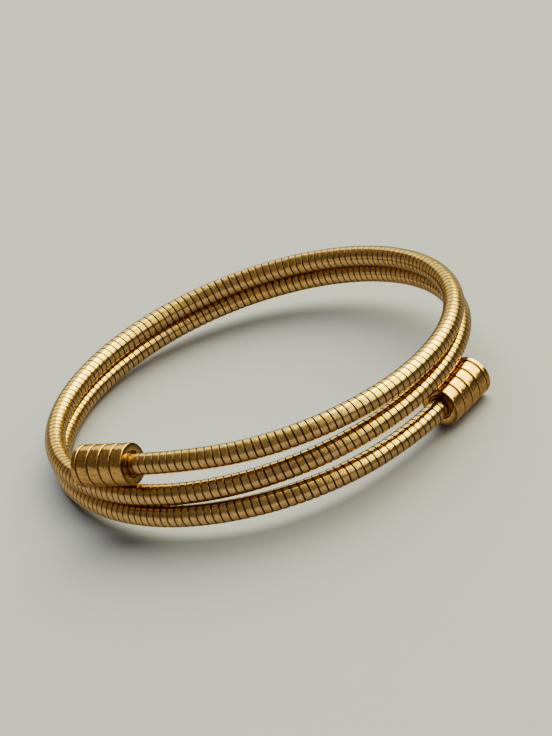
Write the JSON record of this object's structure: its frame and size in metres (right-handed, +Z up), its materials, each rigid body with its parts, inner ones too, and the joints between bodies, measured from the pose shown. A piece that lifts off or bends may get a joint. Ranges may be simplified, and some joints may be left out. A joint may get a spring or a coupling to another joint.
{
  "type": "spiral coil bracelet",
  "caption": "Springy bracelet coiled like a spring from a tube wound of polished strip, open at both ends, each end closed by a ringed barrel cap.",
  "frame": {"origin": "centre of the bounding box at its bottom, on the surface that the bracelet lies on", "axes": "+Z up, the way through the wrist opening; both cap mouths and the free ends lie on the -Y side, the upper end at -X and the lower end at +X"},
  "size_m": [0.0642, 0.0654, 0.0136],
  "materials": {
    "coil_tube": "polished",
    "upper_end_cap": "polished",
    "lower_end_cap": "polished"
  },
  "bodies": {
    "root": {"coil_tube": "coil_tube", "upper_end_cap": "upper_end_cap", "lower_end_cap": "lower_end_cap"}
  },
  "joints": []
}
